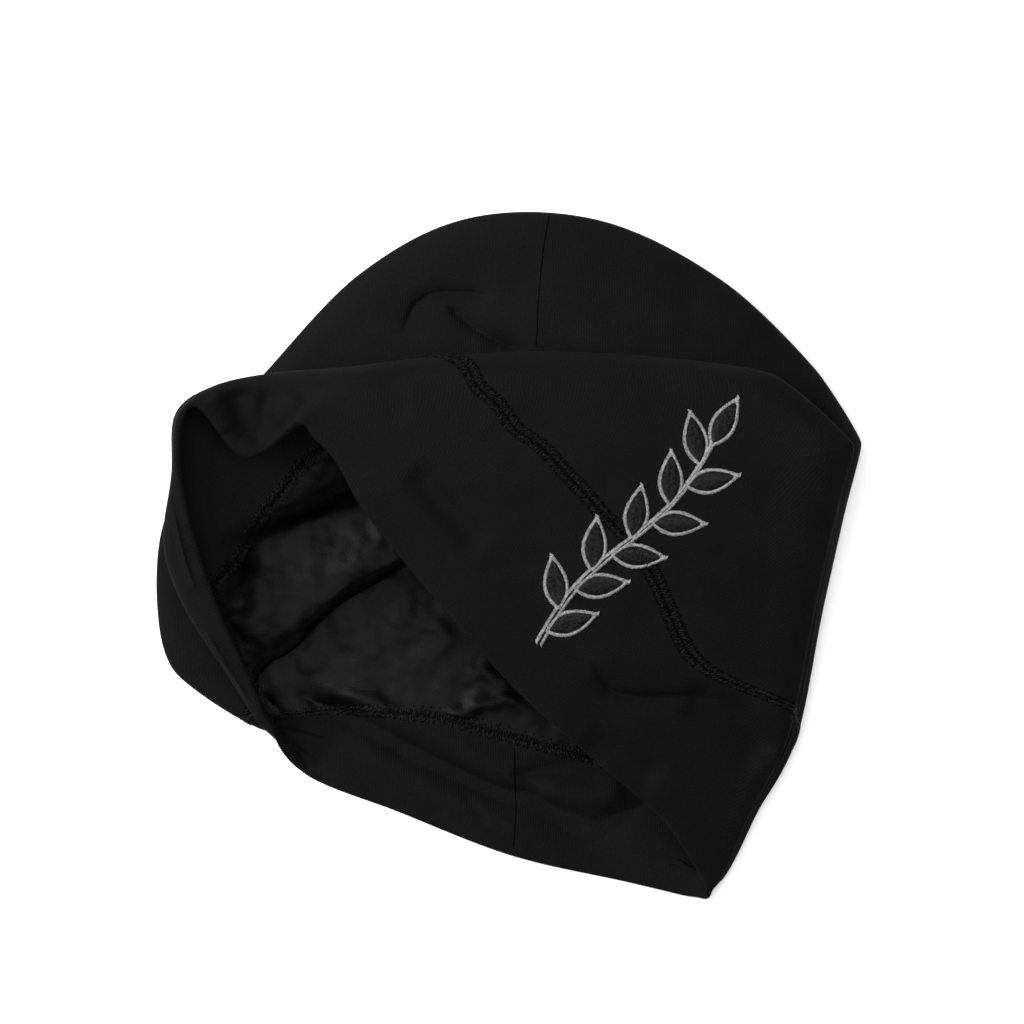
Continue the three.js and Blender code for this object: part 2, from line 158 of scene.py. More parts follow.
# Helpers for objects and meshes

def linked(name, data):
    made = bpy.data.objects.new(name, data)
    bpy.context.scene.collection.objects.link(made)
    return made


def corner_array(mesh):
    corners = np.empty(len(mesh.vertices) * 3)
    mesh.vertices.foreach_get("co", corners)
    return corners.reshape(-1, 3)


def smooth_shaded(mesh):
    mesh.polygons.foreach_set("use_smooth", [True] * len(mesh.polygons))
    mesh.update()


def surface_of(pieces):
    """One tree of the faces of several pieces, for rays."""
    joined = bmesh.new()
    for piece in pieces:
        joined.from_mesh(piece.data)
    tree = BVHTree.FromBMesh(joined)
    joined.free()
    return tree


# The form of the cloth: sections at the stations, and smooth curves round the cap through them

def lowered(place, drop):
    return (place[0], place[1], place[2] - drop)


def folded_bends(station):
    """Hem, top and foot of the fold, of the tuck and of the edge, and the middle of the underside."""
    fold = (station.fold, lowered(station.fold, station.roll))
    tuck = (station.tuck, lowered(station.tuck, min(TUCK_HEIGHT, station.roll / 2)))
    edge = (station.edge, lowered(station.edge, station.edge[2]))
    return (station.hem, *fold, *tuck, *edge, UNDERSIDE_MIDDLE)


def flat_bends(station):
    hem, middle = np.array(station.hem), np.array(UNDERSIDE_MIDDLE)
    reach = np.linalg.norm(middle - hem)
    return (hem, *[hem + (middle - hem) * step / reach for step in FLAT_STEPS], middle)


BENDS = np.array([*map(folded_bends, FOLDED_STATIONS), *map(flat_bends, FLAT_STATIONS)], float)
SEAMS = np.array([station.seam for station in STATIONS], float)
SOFTNESS = 1 - np.array([station.crisp for station in STATIONS], float)


def column_places():
    """Places of the columns, counted in stations, evenly spread over the longest way round."""
    gaps = np.linalg.norm(np.roll(BENDS, -1, axis=0) - BENDS, axis=2).max(axis=1)
    ends = np.concatenate([[0], np.cumsum(gaps)])
    return np.interp(np.arange(COLUMNS) * ends[-1] / COLUMNS, ends, np.arange(STATION_COUNT + 1))


def smooth_way(part, here, there, leave, arrive):
    """A smooth curve from one value to the next, with the slopes that it leaves and arrives with."""
    square, cube = part**2, part**3
    ends = (2 * cube - 3 * square + 1) * here + (3 * square - 2 * cube) * there
    return ends + (cube - 2 * square + part) * leave + (cube - square) * arrive


def round_the_cap(values, at):
    """A closed smooth curve through the stations' values, sharper at the crisp ones."""
    start = np.floor(at).astype(int)
    part, soft, soft_next = [
        row.reshape(-1, *[1] * (values.ndim - 1))
        for row in (at - start, SOFTNESS[start], SOFTNESS[(start + 1) % STATION_COUNT])
    ]
    before, here, there, after = [values[(start + step) % STATION_COUNT] for step in (-1, 0, 1, 2)]
    return smooth_way(part, here, there, soft * (there - before) / 2, soft_next * (after - here) / 2)


def section_rows(bends):
    """The rows of every column's section, with its bends cut across."""
    spans = np.linalg.norm(np.diff(bends, axis=1), axis=2)
    reach = np.minimum(CORNER_REACH, spans * CORNER_SHARE) / spans
    lift = np.minimum(1, bends[:, 0, 2] / BELLY_LIFT)
    rows = [bends[:, 0]]
    for k, stretch in enumerate(STRETCHES):
        start = 0 if k == 0 else reach[:, k]
        stop = 1 if k == len(STRETCHES) - 1 else 1 - reach[:, k]
        height = stretch.belly * np.minimum(1, spans[:, k] / BELLY_SPAN) * lift
        for step in range(1 if k == 0 else 0, stretch.rows + 2):
            part = start + (stop - start) * step / (stretch.rows + 1)
            place = bends[:, k] + (bends[:, k + 1] - bends[:, k]) * np.reshape(part, (-1, 1))
            place[:, 2] += height * np.sin(np.pi * part)
            rows.append(place)
    return np.stack(rows, axis=1)


UNDERSIDE_ROWS = STRETCHES[-1].rows + 2
LEAST_LENGTH = 1e-12  # keeps a vector without a length from dividing by 0


def unit(vectors):
    return vectors / np.maximum(np.linalg.norm(vectors, axis=-1, keepdims=True), LEAST_LENGTH)


def calm_normals(rows):
    """Normals of the outer face that turn slowly, so that the inner faces of tight bends don't cross."""
    along = np.gradient(rows, axis=1)
    across = np.roll(rows, -1, axis=0) - np.roll(rows, 1, axis=0)
    normals = unit(np.cross(along, across))
    reach = max(1, round(CALM_STEP * COLUMNS / STATION_COUNT))
    for _ in range(CALM_PASSES):
        normals[:, -UNDERSIDE_ROWS:] = DOWN
        padded = np.concatenate([normals[:, :1], normals, normals[:, -1:]], axis=1)
        beside = np.roll(normals, reach, axis=0) + np.roll(normals, -reach, axis=0)
        normals = unit(2 * normals + padded[:, :-2] + padded[:, 2:] + beside)
    normals[:, -UNDERSIDE_ROWS:] = DOWN
    return normals


# Place of every column, its rows, their normals, and the way along the cloth from the hem to each row
AT = column_places()
SECTION = section_rows(round_the_cap(BENDS, AT))
NORMALS = calm_normals(SECTION)
WAYS = np.concatenate(
    [np.zeros((COLUMNS, 1)), np.cumsum(np.linalg.norm(np.diff(SECTION, axis=1), axis=2), axis=1)], axis=1
)

# The stretch that each row belongs to
ROW_STRETCH = [k for k, stretch in enumerate(STRETCHES) for _ in range(stretch.rows + 2)]


def way_at(row):
    """Way along the cloth at a row that may lie between two, for every column."""
    low = math.floor(row)
    high = math.ceil(row)
    return WAYS[:, low] + (WAYS[:, high] - WAYS[:, low]) * (row - low)


def last_row(stretch):
    return max(row for row, k in enumerate(ROW_STRETCH) if k == stretch)


TURN_ROWS = [0, *[last_row(turn) - 0.5 for turn in (FOLD, TUCK, EDGE)], len(ROW_STRETCH) - 1]
TUCK_WAYS = way_at(last_row(TUCK) - 0.5)


def seam_ways():
    """Way of the seam from the hem in every column, evened out round the cap."""
    known = sorted([*enumerate(np.append(SEAMS, SEAMS[0])), *SEAM_TURNS])
    seam = np.interp(AT, *zip(*known))
    turns = np.stack([way_at(row) for row in TURN_ROWS], axis=1)
    start = np.floor(seam).astype(int)
    columns = np.arange(COLUMNS)
    ways = turns[columns, start] + (turns[columns, start + 1] - turns[columns, start]) * (seam - start)
    spread = np.hanning(2 * SEAM_CALM + 1)
    wrapped = np.concatenate([ways[-SEAM_CALM:], ways, ways[:SEAM_CALM]])
    return np.convolve(wrapped, spread / spread.sum(), mode="valid")


SEAM_WAYS = seam_ways()


def rows_before(ways):
    """The row before each way, the part of the way on to the next row, and the step between the two."""
    start = (ways[:, :, None] >= WAYS[:, None, 1:-1]).sum(axis=2)
    columns = np.arange(COLUMNS)[:, None]
    step = np.diff(WAYS, axis=1)[columns, start]
    part = (ways - WAYS[columns, start]) / step
    return columns, start, part[..., None], step[..., None]


def straight_between(rows, ways):
    """Values between the rows of each column, at the ways given (columns by places)."""
    columns, start, part, _ = rows_before(ways)
    return rows[columns, start] * (1 - part) + rows[columns, start + 1] * part


def along_section(rows, ways):
    """Smooth curves down each column through its rows, at the ways given (columns by places)."""
    steps = np.diff(WAYS, axis=1)[..., None]
    slopes = np.diff(rows, axis=1) / steps
    middle = (slopes[:, :-1] * steps[:, 1:] + slopes[:, 1:] * steps[:, :-1]) / (steps[:, :-1] + steps[:, 1:])
    tangents = np.concatenate([slopes[:, :1], middle, slopes[:, -1:]], axis=1)
    columns, start, part, step = rows_before(ways)
    here, there = rows[columns, start], rows[columns, start + 1]
    leave, arrive = step * tangents[columns, start], step * tangents[columns, start + 1]
    return smooth_way(part, here, there, leave, arrive)


def face_ways(use):
    """Ways of the fine rows of one face of the cloth, in every column."""
    places = [0.0]
    for row in range(1, len(ROW_STRETCH)):
        same = ROW_STRETCH[row] == ROW_STRETCH[row - 1]
        count = getattr(STRETCHES[ROW_STRETCH[row]], use) if same else CORNER_STEPS[use]
        places += [row - 1 + step / count for step in range(1, count + 1)]
    return np.stack([way_at(place) for place in places], axis=1)


def spread_flat(places, normals, heading):
    """How far each place lies along a heading in plan, with steep cloth spread out flat."""
    plan, up = places[..., :2], places[..., 2]
    return (plan * heading).sum(axis=-1) - up * (normals[..., :2] * heading).sum(axis=-1)


class Sheet:
    """Rows of points of one face of a cloth, with their places along the knit and along the seam."""

    def __init__(self, ways, depth):
        depths = np.broadcast_to(depth, ways.shape)
        outer = along_section(SECTION, ways)
        outer[..., 2] = np.maximum(outer[..., 2], 0)
        normals = unit(straight_between(NORMALS, ways))
        places = outer - normals * depths[..., None]
        places[..., 2] = np.maximum(places[..., 2], 0)
        self.places = (places + ORIGIN_SHIFT) * MM
        ribs = np.empty((COLUMNS, ways.shape[1], 2))
        ribs[:] = FRONT_RIBS
        ribs[(ways > TUCK_WAYS[:, None]) | (AT > BACK_START)[:, None]] = BACK_RIBS
        side = np.stack([ribs[..., 1], -ribs[..., 0]], axis=-1)
        knit = [spread_flat(outer, normals, heading) for heading in (side, ribs)]
        self.knit = np.stack(knit, axis=-1)
        self.past_seam = ways - SEAM_WAYS[:, None]


def seam_sink(past):
    return SEAM_SINK * np.exp(-((past / SEAM_SINK_WIDTH) ** 2))


def crown_side(use, depth, sink=0.0):
    """From the seam to the middle of the underside."""
    clear = np.maximum(face_ways(use), SEAM_WAYS[:, None] + SEAM_CLEAR)
    beside = SEAM_WAYS[:, None] + np.array(SEAM_ROWS)
    ways = np.concatenate([beside, clear], axis=1)
    return Sheet(ways, depth + sink * seam_sink(ways - SEAM_WAYS[:, None]))


def hem_side(use, depth, sink):
    """From the hem to the seam."""
    clear = np.minimum(face_ways(use), SEAM_WAYS[:, None] - SEAM_CLEAR)
    beside = SEAM_WAYS[:, None] - np.array(SEAM_ROWS[::-1])
    ways = np.concatenate([clear, beside], axis=1)
    return Sheet(ways, depth + sink * seam_sink(ways - SEAM_WAYS[:, None]))


def hem_round():
    """The round edge of the hem, from the outer face to the inner face."""
    hem = np.zeros((COLUMNS, 1))
    top, bottom = [Sheet(hem, depth).places[:, 0] for depth in (0, CUFF_THICKNESS)]
    middle = (top + bottom) / 2
    behind = Sheet(hem + HEM_PROBE, CUFF_THICKNESS / 2).places[:, 0]
    out = unit(middle - behind) * CUFF_THICKNESS / 2 * MM
    edge = Sheet(np.zeros((COLUMNS, len(HEM_DEGREES))), 0)
    angles = np.radians(HEM_DEGREES)[:, None]
    rise = (top - middle)[:, None]
    edge.places = middle[:, None] + rise * np.cos(angles) + out[:, None] * np.sin(angles)
    edge.places[..., 2] = np.maximum(edge.places[..., 2], 0)
    return edge


SHEET_PARTS = ("places", "knit", "past_seam")


def turned(sheet):
    """The same sheet with its rows in the other order."""
    for part in SHEET_PARTS:
        setattr(sheet, part, getattr(sheet, part)[:, ::-1])
    return sheet


def seam_lengths(sheet_row):
    """Length of the seam from the first column to each column, and all the way round, in mm."""
    closed = np.concatenate([sheet_row, sheet_row[:1]])
    return np.concatenate([[0], np.cumsum(np.linalg.norm(np.diff(closed, axis=0), axis=1))]) / MM


SEAM_LENGTHS = seam_lengths(Sheet(SEAM_WAYS[:, None], 0).places[:, 0])
GRID_HALF = 0.5  # half the width of the grid that becomes a cloth


def cloth_piece(name, sheets, ring):
    """A closed cloth from sheets that follow each other. A ring closes on itself, others at their poles."""
    places, knit, past = [
        np.concatenate([getattr(sheet, part) for sheet in sheets], axis=1) for part in SHEET_PARTS
    ]
    if ring:
        places, knit, past = [np.concatenate([rows, rows[:, :1]], axis=1) for rows in (places, knit, past)]
    row_count = places.shape[1]
    cloth = bmesh.new()
    bmesh.ops.create_grid(cloth, x_segments=COLUMNS, y_segments=row_count - 1, size=GRID_HALF)
    knit_way = cloth.loops.layers.uv.new("knit_way")
    seam_way = cloth.loops.layers.uv.new("seam_way")
    corners = [
        (round((corner.co.x + GRID_HALF) * COLUMNS), round((corner.co.y + GRID_HALF) * (row_count - 1)))
        for corner in cloth.verts
    ]
    cloth.verts.index_update()
    for face in cloth.faces:
        for loop in face.loops:
            column, row = corners[loop.vert.index]
            loop[knit_way].uv = knit[column % COLUMNS, row]
            loop[seam_way].uv = (SEAM_LENGTHS[column], past[column % COLUMNS, row])
    for corner, (column, row) in zip(cloth.verts, corners):
        corner.co = places[column % COLUMNS, row]
    bmesh.ops.remove_doubles(cloth, verts=cloth.verts, dist=MERGE)
    bmesh.ops.recalc_face_normals(cloth, faces=cloth.faces)
    mesh = bpy.data.meshes.new(name)
    cloth.to_mesh(mesh)
    cloth.free()
    return linked(name, mesh)


BODY = cloth_piece(
    "body_knit",
    [turned(crown_side(HIDDEN, SHELL_THICKNESS)), crown_side(OUTSIDE, 0, OUTER_SINK)],
    ring=False,
)
CUFF = cloth_piece(
    "cuff_knit",
    [turned(hem_side(OUTSIDE, 0, OUTER_SINK)), hem_round(), hem_side(INSIDE, CUFF_THICKNESS, INNER_SINK)],
    ring=True,
)
LINING = cloth_piece(
    "satin_lining",
    [
        turned(crown_side(INSIDE, CUFF_THICKNESS, LINING_SINK)),
        crown_side(HIDDEN, SHELL_THICKNESS + CLOTH_GAP),
    ],
    ring=False,
)
CLOTHS = [BODY, CUFF, LINING]


# Places on the cloth from pixels of the frame

def camera_ray(pixel):
    across = (pixel[0] - FRAME_PIXELS / 2) * PIXEL
    down = (pixel[1] - FRAME_PIXELS / 2) * PIXEL
    floor_place = Vector((CAMERA_PLACE.x + across, CAMERA_PLACE.y - down, 0))
    return (floor_place - CAMERA_PLACE).normalized()


def on_cloth(tree, pixel):
    """Where the camera's ray through a pixel meets the cloth."""
    place = tree.ray_cast(CAMERA_PLACE, camera_ray(pixel))[0]
    if place is None:
        raise ValueError(f"pixel {pixel} misses the cap")
    return place


def top_heights(tree, corners, start=ABOVE):
    """Height of the topmost cloth over each corner, or of the topmost under a starting height."""
    heights = np.empty(len(corners))
    for k, (x, y, z) in enumerate(corners):
        hit = tree.ray_cast(Vector((x, y, start)), DOWN)[0]
        heights[k] = hit.z if hit else z
    return heights


# Creases. Each is a ridge (height over 0) or a dent along a path in pixels, steeper on its narrow side.
# Columns: name, cloths, profile, lowest and highest place of the cloth that it moves, height, width left and
# right of the path, path. In mm, and the path in pixels.
Crease = namedtuple("Crease", "name cloths profile low high height left right pixels")
ALL = "all cloths"
ROLL = "all cloths, and on under the front"
SATIN = "satin alone"
SOFT = "rounded"
SHARP = "with an edge"
CREASE_NEAR = {SOFT: 2.5, SHARP: 1.2}  # how far its fine mesh reaches, in times its narrower side
CREASES = [Crease(*row) for row in (
    ("crown arc dent", ALL, SHARP, 4, 30, -3.2, 2.0, 9,
     [(402, 340), (406, 322), (414, 305), (428, 294), (447, 291), (470, 292), (500, 298)]),
    ("crown diagonal dent", ALL, SHARP, 4, 33, -4.6, 4.0, 2.8,
     [(440, 298), (460, 316), (477, 330), (496, 341), (530, 352)]),
    ("front crease", ALL, SHARP, 8, 60, -4.8, 3.4, 3.4,
     [(590, 660), (602, 680), (610, 690), (621, 695), (645, 698), (675, 697), (700, 697), (726, 708)]),
    ("front crease, far end", ALL, SOFT, 8, 60, -5.2, 5.5, 9,
     [(672, 690), (704, 699), (735, 714), (757, 738), (774, 768)]),
    ("front soft dent", ALL, SOFT, 8, 60, -3.0, 5, 7,
     [(580, 732), (606, 746), (634, 764), (666, 782)]),
    ("flap dent high", ALL, SOFT, 30, 60, -0.9, 4, 4,
     [(386, 372), (396, 398), (406, 426)]),
    ("flap dent low", ALL, SOFT, 30, 60, -3.0, 4.5, 5,
     [(408, 464), (430, 490), (454, 514), (488, 552)]),
    ("roll pinch", ALL, SOFT, 30, 60, -3.0, 4.5, 3.5,
     [(229, 388), (236, 404), (246, 424), (251, 446)]),
    ("roll right pinch", ALL, SOFT, 30, 60, -2.6, 3.5, 3,
     [(270, 388), (265, 408), (258, 428), (250, 448)]),
    ("roll left ridge", ALL, SOFT, 30, 60, 1.8, 3, 4,
     [(206, 396), (218, 412), (230, 434)]),
    ("roll right ridge", ALL, SOFT, 30, 60, 2.2, 4, 5,
     [(300, 394), (288, 408), (272, 424)]),
    ("band long ridge", ALL, SOFT, 0, 16, 3.0, 6, 6,
     [(310, 680), (370, 708), (440, 742), (506, 776), (560, 796)]),
    ("band low ridge", ALL, SOFT, 0, 16, 2.2, 5, 6,
     [(330, 734), (380, 760), (440, 792), (510, 828), (580, 860)]),
    ("band long dent", ALL, SHARP, 0, 16, -5.6, 3.8, 3.0,
     [(282, 684), (300, 695), (322, 706), (368, 727), (400, 746), (435, 764), (475, 782), (505, 795),
      (524, 797), (556, 814), (588, 834), (600, 830), (626, 817), (652, 801), (676, 790)]),
    ("band upper dent", ALL, SHARP, 0, 16, -3.6, 2.6, 2.6,
     [(500, 777), (542, 771), (575, 766), (620, 758)]),
    ("band small dent", ALL, SOFT, 0, 16, -1.0, 3, 3,
     [(456, 782), (472, 802), (492, 828)]),
    ("band swell", ALL, SOFT, 0, 16, 3.0, 5, 5,
     [(530, 784), (566, 796), (600, 798), (632, 784)]),
    ("band left dent", ALL, SHARP, 0, 16, -3.6, 3, 2.5,
     [(262, 690), (276, 718), (290, 740), (308, 762), (336, 788)]),
    ("satin black hollow", ROLL, SOFT, 8, 40, -8.0, 4.6, 15,
     [(205, 562), (455, 462)]),
    ("satin roll lip", ROLL, SOFT, 7.5, 40, 1.8, 6, 2.0,
     [(240, 657), (284, 643), (296, 632), (317, 612), (340, 592), (363, 576), (386, 566), (446, 546)]),
    ("satin fold", SATIN, SOFT, 0, 8, 1.4, 3.2, 2.8,
     [(436, 724), (462, 712), (486, 702), (508, 700), (534, 708)]),
    ("satin second fold", SATIN, SOFT, 0, 8, 1.0, 3.4, 2.8,
     [(462, 678), (480, 672), (496, 682), (516, 690)]),
    ("strip streak high", ALL, SHARP, 8, 60, 2.2, 1.6, 3.0,
     [(171, 500), (176, 521), (186, 563), (198, 596)]),
    ("strip streak low", ALL, SHARP, 8, 60, 2.4, 1.5, 2.6,
     [(203, 626), (220, 655), (240, 686), (250, 704)]),
)]
END_SHARE = 0.22  # a crease fades over this share of its length at each end
LEVEL_FADE = 2  # and over this height past its lowest and highest place, in mm
BLEND_POWER = 3  # creases that meet blend with this power
TOP_LAYER = 4.0 * MM  # cloth this far under the top goes all the way with a crease
TOP_FADE = 4.0 * MM  # and then less and less over this depth
UNDER_FRONT = 41 * MM  # the front is over this height where the roll's creases go on under it
LEAST_HEIGHT = 0.3  # share of its height over the floor that cloth keeps in a dent
UNEVEN_HEIGHT = 0.35 * MM
UNEVEN_SCALE = 32 * MM


def along_path(points, corners):
    """Distance in plan from each corner to a path, over 0 on its left, and how far along the path it is."""
    path = np.array([(p.x, p.y) for p in points])
    steps = np.diff(path, axis=0)
    lengths = np.linalg.norm(steps, axis=1)
    starts = np.concatenate([[0], np.cumsum(lengths)[:-1]])
    nearest = np.full(len(corners), np.inf)
    side = np.ones(len(corners))
    way = np.zeros(len(corners))
    for start, step, length, done in zip(path, steps, lengths, starts):
        offset = corners[:, :2] - start
        part = np.clip(offset @ step / length**2, 0, 1)
        gap = offset - part[:, None] * step
        distance = np.linalg.norm(gap, axis=1)
        closer = distance < nearest
        nearest[closer] = distance[closer]
        side[closer] = np.sign(step[0] * offset[:, 1] - step[1] * offset[:, 0])[closer]
        way[closer] = (done + part * length)[closer]
    return nearest * side, way / lengths.sum()


def smoothstep(values):
    share = np.clip(values, 0, 1)
    return share * share * (3 - 2 * share)


def crease_lift(crease, points, corners):
    """How far a crease moves each corner up."""
    distance, way = along_path(points, corners)
    reach = np.abs(distance) / np.where(distance > 0, crease.left, crease.right) / MM
    form = np.exp(-reach) if crease.profile == SHARP else np.exp(-(reach**2))
    ends = smoothstep(np.minimum(way, 1 - way) / END_SHARE)
    level = corners[:, 2] / MM
    past_low = smoothstep((level - crease.low) / LEVEL_FADE + 1)
    under_high = smoothstep((crease.high - level) / LEVEL_FADE + 1)
    return crease.height * MM * form * ends * past_low * under_high


def paths_of(piece, paths):
    """The creases that move a piece: its own, and those of all cloths."""
    return [(crease, points) for crease, points in paths if crease.cloths != SATIN or piece is LINING]


def longest_edges(corners, tree, paths):
    """The longest edge that a mesh may have at each corner."""
    seen = top_heights(tree, corners) - corners[:, 2] < SEEN_DEPTH
    limit = np.where(seen, SEEN_EDGE, NO_LIMIT)
    for crease, points in paths:
        distance, _ = along_path(points, corners)
        narrow = min(crease.left, crease.right) * MM
        edge = CREASE_EDGE if crease.profile == SHARP else max(CREASE_EDGE, CREASE_EDGE_SHARE * narrow)
        near = seen & (np.abs(distance) < CREASE_NEAR[crease.profile] * narrow)
        limit[near] = np.minimum(limit[near], edge)
    return limit


def refined(piece, tree, paths):
    """Splits long edges where the cap is seen, and more near its creases."""
    cloth = bmesh.new()
    cloth.from_mesh(piece.data)
    for _ in range(REFINE_PASSES):
        cloth.verts.ensure_lookup_table()
        limit = longest_edges(np.array([v.co for v in cloth.verts]), tree, paths)
        cloth.verts.index_update()
        split = [e for e in cloth.edges if e.calc_length() > max(limit[v.index] for v in e.verts)]
        if not split:
            break
        bmesh.ops.subdivide_edges(cloth, edges=split, cuts=1, use_grid_fill=True)
        bmesh.ops.triangulate(cloth, faces=[f for f in cloth.faces if len(f.verts) > 4])
    cloth.to_mesh(piece.data)
    cloth.free()


def top_share(corners, tree, start=ABOVE):
    """How far each corner goes with a crease in the topmost cloth, or in the topmost under a height."""
    depth = top_heights(tree, corners, start) - corners[:, 2]
    return 1 - smoothstep((depth - TOP_LAYER) / TOP_FADE)


def blended(lifts):
    """One lift for each corner from all that are over 0 there, close to the highest."""
    return (np.maximum(lifts, 0)**BLEND_POWER).sum(axis=0)**(1 / BLEND_POWER)


def moved_by_creases(corners, tree, paths):
    """The corners with the top layers of cloth moved by all creases and by the cloth's broad unevenness."""
    top = top_share(corners, tree)
    shares = {ALL: top, SATIN: top, ROLL: top_share(corners, tree, UNDER_FRONT)}
    lifts = np.array([
        crease_lift(crease, points, corners) * shares[crease.cloths] for crease, points in paths
    ])
    uneven = UNEVEN_HEIGHT * np.array([noise.noise(Vector(corner) / UNEVEN_SCALE) for corner in corners])
    heights = corners[:, 2] + blended(lifts) - blended(-lifts) + top * uneven
    moved = corners.copy()
    moved[:, 2] = np.maximum(heights, LEAST_HEIGHT * corners[:, 2])
    return moved


CLOTH_TREE = surface_of(CLOTHS)
PATHS = [(crease, [on_cloth(CLOTH_TREE, pixel) for pixel in crease.pixels]) for crease in CREASES]
for cloth in CLOTHS:
    refined(cloth, CLOTH_TREE, paths_of(cloth, PATHS))
for cloth in CLOTHS:
    places = moved_by_creases(corner_array(cloth.data), CLOTH_TREE, paths_of(cloth, PATHS))
    cloth.data.vertices.foreach_set("co", places.ravel())
    smooth_shaded(cloth.data)
FINAL_TREE = surface_of(CLOTHS)


# Threads

THREAD_END = 0.6  # share of a thread's thickness left at its ends


def thread_piece(name, runs, radius, resolution=1):
    """Many short threads in one mesh. Each run is a list of places."""
    lines = bpy.data.curves.new(name, "CURVE")
    lines.dimensions = "3D"
    lines.bevel_depth = radius
    lines.bevel_resolution = resolution
    lines.use_fill_caps = True
    for run in runs:
        line = lines.splines.new("POLY")
        line.points.add(len(run) - 1)
        for point, place in zip(line.points, run):
            point.co = (*place, 1)
        line.points[0].radius = line.points[-1].radius = THREAD_END
    holder = linked(name, lines)
    shape = holder.evaluated_get(bpy.context.evaluated_depsgraph_get())
    mesh = bpy.data.meshes.new_from_object(shape)
    bpy.data.objects.remove(holder)
    bpy.data.curves.remove(lines)
    mesh.name = name
    smooth_shaded(mesh)
    return linked(name, mesh)


# Cover stitches: looper threads that cross the seam, needle threads along it, and dark spots of painted
# shade where the needle goes down, in mm
STITCH_PITCH = 3.2
LOOPER_PITCH = 0.62
LOOPER_PLACES = (0.1, 0.9)  # within its pitch
LOOPER_REACH = 1.45
LOOPER_REACHES = (0.6, 1.05)  # of the reach
LOOPER_SLANT = 0.55
LOOPER_SLANTS = 1.6  # of the slant, to either side
LOOPER_SHIFT = 0.25
NEEDLE_LENGTH = 2.2
NEEDLE_START = 0.3  # within its pitch
THREAD_RADIUS = 0.2
THREAD_STEPS = 4
THREAD_BULGE = 0.2
OUTER_ROWS = (-1.45, 1.45)  # middle of each row of stitches, from the seam
INNER_ROWS = (-2.7, 0.1)
# The dips are dark spots of painted shade, standing for the shade in the needle holes
OUTER_DIPS = (-2.8, 2.8)
INNER_DIPS = (-3.8, -1.3, 1.9)
DIP_LENGTH = 0.5
DIP_RADIUS = 0.36


def seam_places(lengths, offsets, depth):
    """Places on one face of the cloth before its creases, by length along the seam and distance past it."""
    places = np.empty((len(lengths), 3))
    column = np.interp(lengths, SEAM_LENGTHS, np.arange(COLUMNS + 1))
    low = np.floor(column).astype(int)
    part = (column - low)[:, None]
    for offset in np.unique(offsets):
        row = Sheet((SEAM_WAYS + offset)[:, None], depth).places[:, 0]
        here = offsets == offset
        places[here] = (row[low % COLUMNS] * (1 - part) + row[(low + 1) % COLUMNS] * part)[here]
    return places


def stitch_ends(rows, draws):
    """Both ends of every thread of a cover stitch, as length along the seam and distance past it."""
    ends = []
    count = round(SEAM_LENGTHS[-1] / STITCH_PITCH)
    pitch = SEAM_LENGTHS[-1] / count
    loopers = round(SEAM_LENGTHS[-1] / LOOPER_PITCH)
    for row in rows:
        for k in range(loopers):
            middle = (k + draws.uniform(*LOOPER_PLACES)) * SEAM_LENGTHS[-1] / loopers
            slant = LOOPER_SLANT * draws.uniform(-LOOPER_SLANTS, LOOPER_SLANTS)
            reach = LOOPER_REACH * draws.uniform(*LOOPER_REACHES)
            shift = row + draws.uniform(-LOOPER_SHIFT, LOOPER_SHIFT)
            ends.append(((middle - slant, shift - reach), (middle + slant, shift + reach)))
        for k in range(count):
            start = (k + NEEDLE_START) * pitch
            ends.append(((start, row), (start + NEEDLE_LENGTH, row)))
    return ends


def dip_ends(rows):
    """Both ends of the short dark threads where the needle goes down: painted shade for the needle holes."""
    count = round(SEAM_LENGTHS[-1] / STITCH_PITCH)
    starts = [k * SEAM_LENGTHS[-1] / count for k in range(count)]
    return [((start, row), (start + DIP_LENGTH, row)) for row in rows for start in starts]


def between(start, end, share):
    return np.add(np.multiply(start, 1 - share), np.multiply(end, share))


def stitch_piece(name, ends, depth, radius, bulge):
    """Threads that lie on one face of the cloth, each bulging over it."""
    shares = np.linspace(0, 1, THREAD_STEPS)
    flat = np.array([between(start, end, share) for start, end in ends for share in shares])
    lengths = flat[:, 0] % SEAM_LENGTHS[-1]
    offsets = np.round(flat[:, 1], 1)
    places = moved_by_creases(seam_places(lengths, offsets, depth), CLOTH_TREE, paths_of(CUFF, PATHS))
    lifts = np.tile(bulge * np.sin(np.pi * shares), len(ends))
    for k, place in enumerate(places):
        near, normal, _, _ = FINAL_TREE.find_nearest(Vector(place))
        places[k] = near + normal * lifts[k] * MM
    return thread_piece(name, places.reshape(len(ends), THREAD_STEPS, 3), radius * MM)


def cover_stitch(name, rows, depth, seed):
    return stitch_piece(name, stitch_ends(rows, random.Random(seed)), depth, THREAD_RADIUS, THREAD_BULGE)


def needle_hole_shade(name, rows, depth):
    return stitch_piece(name, dip_ends(rows), depth, DIP_RADIUS, 0)


OUTER_STITCH = cover_stitch("outer_cover_stitch", OUTER_ROWS, 0, seed=11)
INNER_STITCH = cover_stitch("inner_cover_stitch", INNER_ROWS, CUFF_THICKNESS, seed=12)
# Dark spots of painted shade where the needle goes down
OUTER_NEEDLE_HOLE_SHADE = needle_hole_shade("outer_needle_hole_shade", OUTER_DIPS, 0)
INNER_NEEDLE_HOLE_SHADE = needle_hole_shade("inner_needle_hole_shade", INNER_DIPS, CUFF_THICKNESS)


# Plain seams: a thread drawn down into the cloth along a path in pixels, in a black darker than the other
# threads: painted shade of the seam's groove

SEAM_LINE_RADIUS = 0.24 * MM
SEAM_LINE_SINK = 0.08 * MM
SEAM_LINE_STEPS = 12  # in each part of the path


def seam_line(name, pixels):
    shares = np.linspace(0, 1, SEAM_LINE_STEPS, endpoint=False)
    dense = [between(start, end, share) for start, end in zip(pixels, pixels[1:]) for share in shares]
    places = [on_cloth(FINAL_TREE, pixel) + DOWN * SEAM_LINE_SINK for pixel in dense]
    return thread_piece(name, [places], SEAM_LINE_RADIUS)


